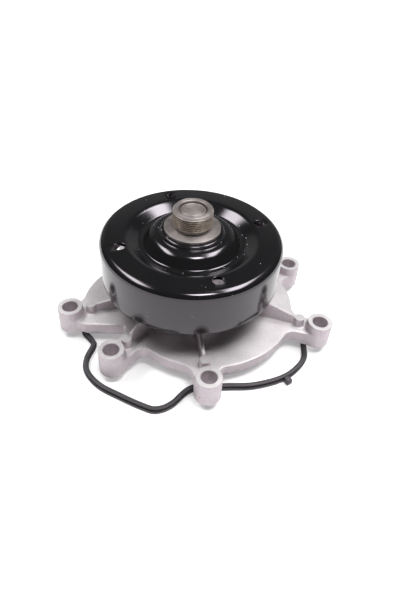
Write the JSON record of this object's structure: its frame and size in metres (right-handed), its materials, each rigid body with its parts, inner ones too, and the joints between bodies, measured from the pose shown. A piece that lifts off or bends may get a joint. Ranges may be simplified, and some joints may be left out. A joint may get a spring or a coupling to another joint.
{
  "type": "water pump",
  "caption": "Engine coolant pump: cast cover with bolt bosses, gloss black belt pulley, threaded fan stud, shaft bearing, face seal, impeller and a loose rubber gasket.",
  "frame": {"origin": "point where the pump axis crosses the mounting plane, on which the bolt bosses and the sealing land stand", "axes": "+Z along the pump axis from the engine towards the pulley and fan stud; +X to the right and +Y away from the viewer with the front bolt boss nearest"},
  "size_m": [0.2205, 0.2011, 0.109],
  "materials": {
    "cast_aluminium": "pale as-cast aluminium with a fine matte grain",
    "black_paint": "gloss black paint on pressed steel",
    "turned_steel": "turned steel, slightly warm grey",
    "bearing_steel": "ground bearing steel",
    "cage_nylon": "brown glass-filled nylon",
    "seal_rubber": "black nitrile rubber",
    "brass_cup": "drawn brass",
    "stainless": "bright stainless steel",
    "carbon": "lapped carbon graphite",
    "ceramic": "lapped ceramic",
    "impeller_steel": "pressed steel sheet",
    "gasket_rubber": "black moulded rubber"
  },
  "bodies": {
    "pump_body": {"housing": "cast_aluminium", "bearing_outer_ring": "bearing_steel", "front_bearing_seal": "seal_rubber", "rear_bearing_seal": "seal_rubber", "seal_cup": "brass_cup", "seal_bellows": "seal_rubber", "seal_spring": "stainless"},
    "rotor": {"shaft": "bearing_steel", "fan_hub": "turned_steel", "pulley": "black_paint", "slinger": "seal_rubber", "seal_sleeve": "stainless", "mating_ring": "ceramic", "mating_ring_boot": "seal_rubber", "impeller": "impeller_steel", "impeller_bush": "turned_steel"},
    "ball_set": {"bearing_balls": "bearing_steel", "ball_cage": "cage_nylon"},
    "roller_set": {"bearing_rollers": "bearing_steel", "roller_cage": "cage_nylon"},
    "seal_face": {"carbon_ring": "carbon", "seal_spring_seat": "stainless"},
    "gasket_ring": {"gasket": "gasket_rubber"}
  },
  "joints": [
    {"name": "rotor_spin", "type": "hinge", "parent": "pump_body", "child": "rotor", "pos_m": [0, 0, 0], "axis": [0, 0, 1], "continuous": true},
    {"name": "ball_set_spin", "type": "hinge", "parent": "pump_body", "child": "ball_set", "pos_m": [0, 0, 0.0575], "axis": [0, 0, 1], "continuous": true},
    {"name": "roller_set_spin", "type": "hinge", "parent": "pump_body", "child": "roller_set", "pos_m": [0, 0, 0.0395], "axis": [0, 0, 1], "continuous": true},
    {"name": "seal_face_float", "type": "slide", "parent": "pump_body", "child": "seal_face", "axis": [0, 0, 1], "range_m": [0, 0.0015], "stiffness_N_per_m": 1500, "springref_m": -0.004, "deforming": ["seal_spring", "seal_bellows"]},
    {"name": "gasket_slide", "type": "slide", "parent": "pump_body", "child": "gasket_ring", "axis": [0, 1, 0], "range_m": [0, 0.022]}
  ],
  "couplings": [
    {"joint": "ball_set_spin", "follows": "rotor_spin", "ratio": 0.3482},
    {"joint": "roller_set_spin", "follows": "rotor_spin", "ratio": 0.3805}
  ]
}
